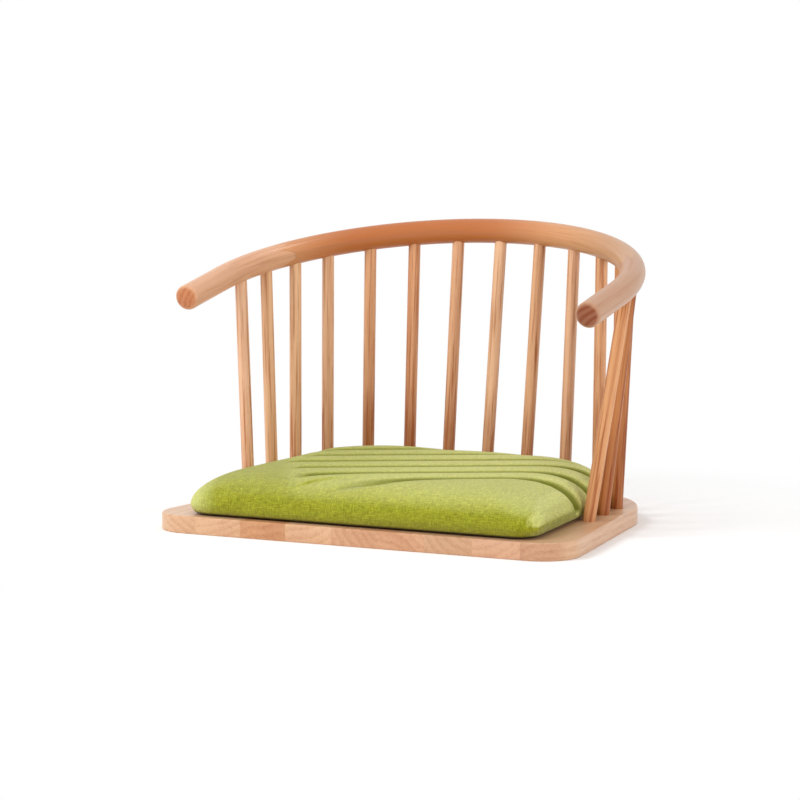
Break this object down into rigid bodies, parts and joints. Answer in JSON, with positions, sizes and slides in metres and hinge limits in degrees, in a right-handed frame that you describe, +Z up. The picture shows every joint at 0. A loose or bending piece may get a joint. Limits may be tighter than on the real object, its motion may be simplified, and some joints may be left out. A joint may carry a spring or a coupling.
{
  "type": "floor chair",
  "caption": "Legless floor chair: a wooden seat board that lies on the floor, a curved spindle back with a finger-jointed arm rail, and a loose quilted seat cushion.",
  "frame": {"origin": "on the floor, under the middle of the chair's outer box", "axes": "+X to the left of someone who sits in the chair, +Y from the front to the back, +Z up"},
  "size_m": [0.5864, 0.471, 0.3766],
  "materials": {
    "seat_wood": "clear satin lacquer on pale hardwood, edge-glued staves",
    "spindle_wood": "clear satin lacquer on pale hardwood, turned",
    "rail_wood": "clear satin lacquer on pale hardwood, shaped and sanded round",
    "cushion_fabric": "coarse plain weave in yellow green, quilted in slanting channels",
    "foam": "open-cell seat foam"
  },
  "bodies": {
    "chair": {"seat_stave_1": "seat_wood", "seat_stave_2": "seat_wood", "seat_stave_3": "seat_wood", "seat_stave_4": "seat_wood", "seat_stave_5": "seat_wood", "seat_stave_6": "seat_wood", "seat_stave_7": "seat_wood", "seat_stave_8": "seat_wood", "seat_stave_9": "seat_wood", "rail_bow": "rail_wood", "rail_arm_right": "rail_wood", "rail_arm_left": "rail_wood", "spindle_01": "spindle_wood", "spindle_02": "spindle_wood", "spindle_03": "spindle_wood", "spindle_04": "spindle_wood", "spindle_05": "spindle_wood", "spindle_06": "spindle_wood", "spindle_07": "spindle_wood", "spindle_08": "spindle_wood", "spindle_09": "spindle_wood", "spindle_10": "spindle_wood", "spindle_11": "spindle_wood", "spindle_12": "spindle_wood", "spindle_13": "spindle_wood", "spindle_14": "spindle_wood", "spindle_15": "spindle_wood"},
    "cushion": {"cushion_cover": "cushion_fabric", "cushion_foam": "foam"}
  },
  "joints": [
    {"name": "cushion_lift", "type": "slide", "parent": "chair", "child": "cushion", "axis": [0, -0.5, 0.866], "range_m": [0, 0.43]}
  ]
}
